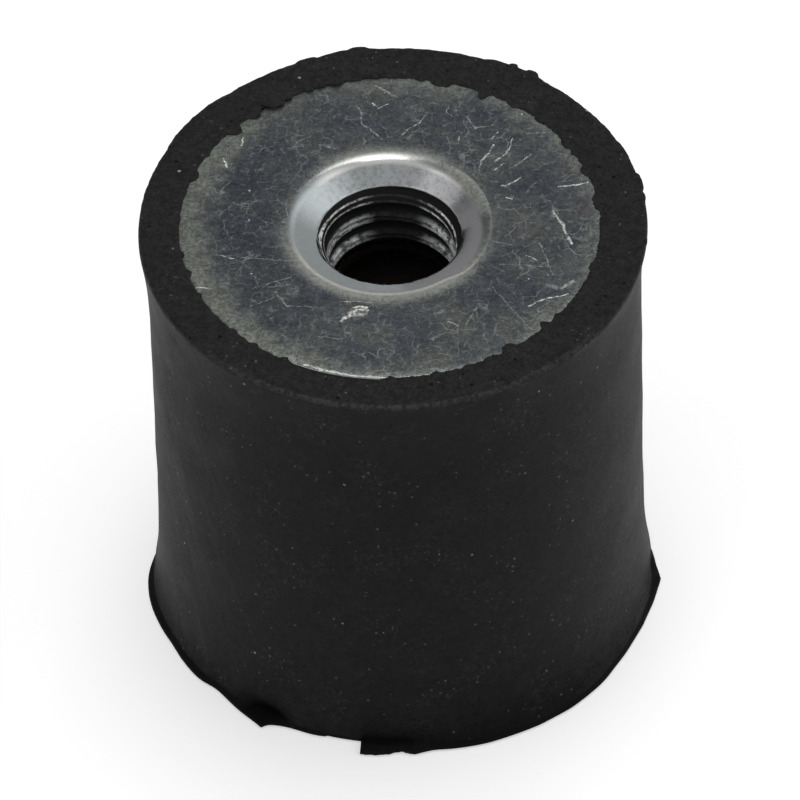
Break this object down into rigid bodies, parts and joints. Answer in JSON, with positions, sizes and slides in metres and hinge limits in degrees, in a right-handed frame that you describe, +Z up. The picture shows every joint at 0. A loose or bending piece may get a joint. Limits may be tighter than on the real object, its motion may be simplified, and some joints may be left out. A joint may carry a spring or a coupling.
{
  "type": "rubber buffer",
  "caption": "Cylindrical rubber-metal buffer with a waisted rubber body, torn moulding flash on its lower edge and a threaded steel disc bonded into each end.",
  "frame": {"origin": "centre of the lower end face, on the axis of both threads", "axes": "+Z up the axis from the lower end to the upper end; +X and +Y across it, with the torn flash flap at -Y"},
  "size_m": [0.0215, 0.0214, 0.02],
  "materials": {
    "rubber": "matt black moulded natural rubber with light dust and fine pits",
    "zinc_plated_steel": "zinc-plated stamped steel, mottled grey with fine scratches"
  },
  "bodies": {
    "root": {"rubber_body": "rubber", "upper_insert": "zinc_plated_steel", "lower_insert": "zinc_plated_steel"}
  },
  "joints": []
}
